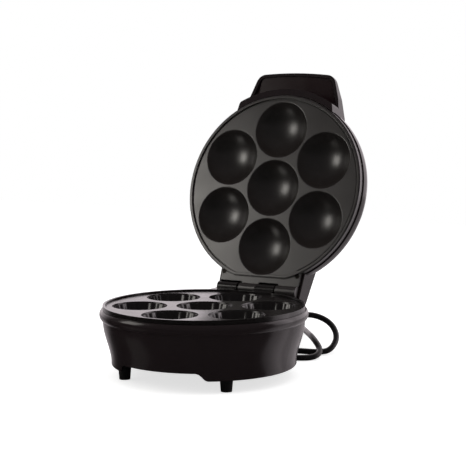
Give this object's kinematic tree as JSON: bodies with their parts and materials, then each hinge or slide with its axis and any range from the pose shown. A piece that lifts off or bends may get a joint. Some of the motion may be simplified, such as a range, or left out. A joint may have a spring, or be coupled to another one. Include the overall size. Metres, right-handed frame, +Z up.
{
  "type": "cupcake maker",
  "caption": "Round countertop cupcake maker with a hinged domed lid, fluted baking cups in a cast lower plate, matching domes above, feet and a mains cord.",
  "frame": {"origin": "on the table under the middle of the cooker's box with its lid open, without the cord", "axes": "+Z up, -Y towards the user, +X to the user's right, along the hinge"},
  "size_m": [0.237, 0.4541, 0.3408],
  "materials": {
    "housing_plastic": "high-gloss moulded, near-black brown",
    "lid_plastic": "high-gloss moulded, near-black brown",
    "panel_plastic": "satin moulded",
    "cover_plastic": "fine spark texture",
    "foot_rubber": "matte",
    "lower_coating": "cast, dark semi-gloss non-stick coating",
    "upper_coating": "cast, satin grey non-stick coating",
    "element_steel": "dull oxidised tube",
    "strip_steel": "pressed strip",
    "pan_steel": "aluminised sheet",
    "shield_aluminium": "rolled sheet",
    "screw_steel": "zinc plated",
    "pin_steel": "drawn wire",
    "stat_body": "pressed cap on a moulded body",
    "fuse_metal": "turned case",
    "block_plastic": "moulded, natural white",
    "lead_insulation": "glass sleeve over silicone",
    "cord_pvc": "smooth extruded",
    "plug_pvc": "moulded",
    "pin_brass": "stamped, nickel tinted",
    "lens_red": "clear red",
    "lens_green": "clear green",
    "lamp_glass": "clear"
  },
  "bodies": {
    "base": {"base_housing": "housing_plastic", "bottom_cover": "cover_plastic", "foot_front_left": "foot_rubber", "foot_front_right": "foot_rubber", "foot_rear_left": "foot_rubber", "foot_rear_right": "foot_rubber", "foot_screws": "screw_steel", "bottom_screws": "screw_steel", "lower_bake_plate": "lower_coating", "plate_screws": "screw_steel", "lower_element": "element_steel", "lower_element_clamps": "strip_steel", "lower_clamp_screws": "screw_steel", "reflector_pan": "pan_steel", "lower_thermostat": "stat_body", "lower_thermostat_screws": "screw_steel", "thermal_fuse": "fuse_metal", "fuse_clip": "strip_steel", "terminal_block": "block_plastic", "terminal_screw": "screw_steel", "inner_leads": "lead_insulation", "hinge_pin": "pin_steel", "cord_bush": "cord_pvc", "power_cord": "cord_pvc", "plug_body": "plug_pvc", "plug_pins": "pin_brass"},
    "lid": {"upper_bake_plate": "upper_coating", "tab_screws": "screw_steel", "lid_cover": "lid_plastic", "handle_underside": "panel_plastic", "upper_element": "element_steel", "upper_element_clamps": "strip_steel", "upper_clamp_screws": "screw_steel", "heat_shield": "shield_aluminium", "shield_screws": "screw_steel", "upper_thermostat": "stat_body", "upper_thermostat_screws": "screw_steel", "power_lens": "lens_red", "ready_lens": "lens_green", "power_lamp": "lamp_glass", "ready_lamp": "lamp_glass", "lid_leads": "lead_insulation"}
  },
  "joints": [
    {"name": "lid_hinge", "type": "hinge", "parent": "base", "child": "lid", "pos_m": [0, 0.07008, 0.0824], "axis": [1, 0, 0], "range_deg": [0, 106.9]}
  ]
}
